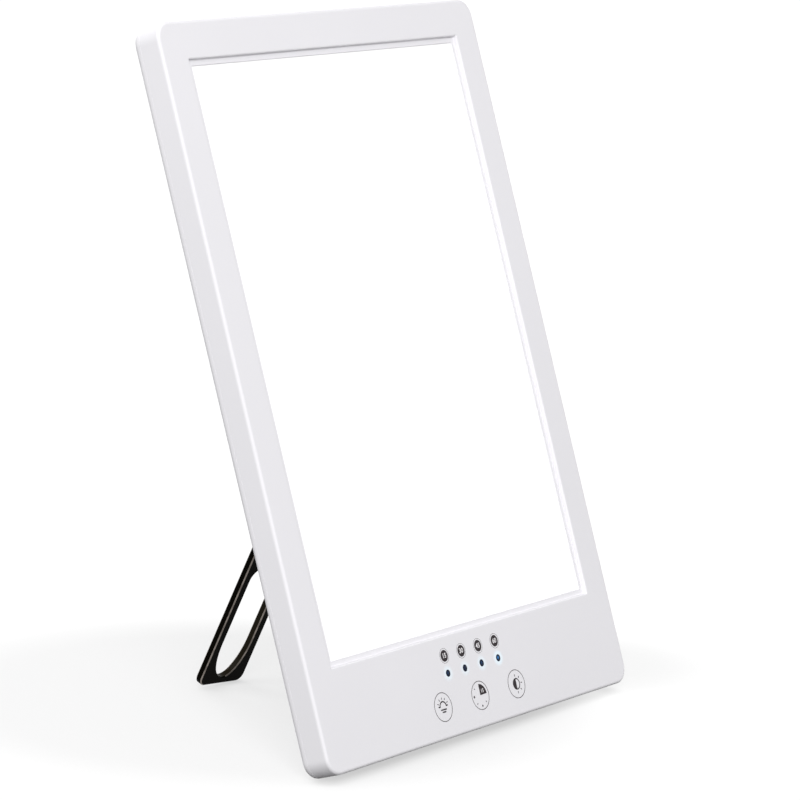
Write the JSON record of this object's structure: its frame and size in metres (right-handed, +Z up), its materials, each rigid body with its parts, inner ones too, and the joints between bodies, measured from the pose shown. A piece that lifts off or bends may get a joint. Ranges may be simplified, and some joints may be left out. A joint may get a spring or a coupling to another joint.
{
  "type": "light therapy lamp",
  "caption": "Slim tablet-shaped light therapy lamp with a bright window, touch keys and a slotted leg that folds and swivels on its back.",
  "frame": {"origin": "on the surface the lamp stands on, below the middle of its box at rest", "axes": "+X to the right seen from the front, -Y the way the light faces, +Z up"},
  "size_m": [0.218, 0.1356, 0.2925],
  "materials": {
    "housing": "satin moulded plastic",
    "diffuser": "opal sheet, lit",
    "clear_film": "clear prism film",
    "light_guide": "clear acrylic",
    "reflector": "white film",
    "aluminium": "rolled sheet",
    "strip_board": "white solder mask",
    "phosphor": "phosphor",
    "circuit_board": "green solder mask",
    "black_epoxy": "moulded epoxy",
    "ceramic": "ceramic",
    "conductive_foam": "foam",
    "indicator_led": "clear epoxy",
    "lens": "dark blue clear plastic",
    "black_plastic": "satin moulded plastic",
    "plated_brass": "nickel plated",
    "lead_red": "insulation",
    "lead_white": "insulation",
    "steel": "zinc plated",
    "rubber_grey": "soft rubber",
    "nylon": "natural nylon",
    "black_enamel": "gloss black enamel"
  },
  "bodies": {
    "case": {"front_bezel": "housing", "rear_cover": "housing", "diffuser_panel": "diffuser", "prism_film": "clear_film", "light_guide": "light_guide", "reflector_sheet": "reflector", "back_plate": "aluminium", "led_strip_left": "strip_board", "led_strip_right": "strip_board", "led_chips": "phosphor", "control_board": "circuit_board", "controller_chip": "black_epoxy", "driver_coils": "black_epoxy", "capacitors": "ceramic", "touch_pads": "conductive_foam", "indicator_leds": "indicator_led", "indicator_lenses": "lens", "dc_jack": "black_plastic", "jack_pin": "plated_brass", "jack_leads": "lead_red", "led_leads": "lead_white", "case_screws": "steel", "plate_screws": "steel", "board_screws": "steel", "foot_pads": "rubber_grey", "glide_ring": "nylon", "wave_washer": "steel"},
    "swivel": {"swivel_base": "black_plastic", "keeper_washer": "steel", "swivel_screw": "steel", "hinge_pin": "steel", "pin_clip": "steel", "hinge_washers": "steel"},
    "leg": {"leg": "black_enamel"}
  },
  "joints": [
    {"name": "base_swivel", "type": "hinge", "parent": "case", "child": "swivel", "pos_m": [0, -0.00562, 0.14428], "axis": [0, 0.9452, -0.3266], "range_deg": [-4.9, 85.1]},
    {"name": "leg_hinge", "type": "hinge", "parent": "swivel", "child": "leg", "pos_m": [0.0006, 0.00668, 0.14741], "axis": [-0.9963, 0.0279, 0.0807], "range_deg": [0, 41.1]}
  ]
}
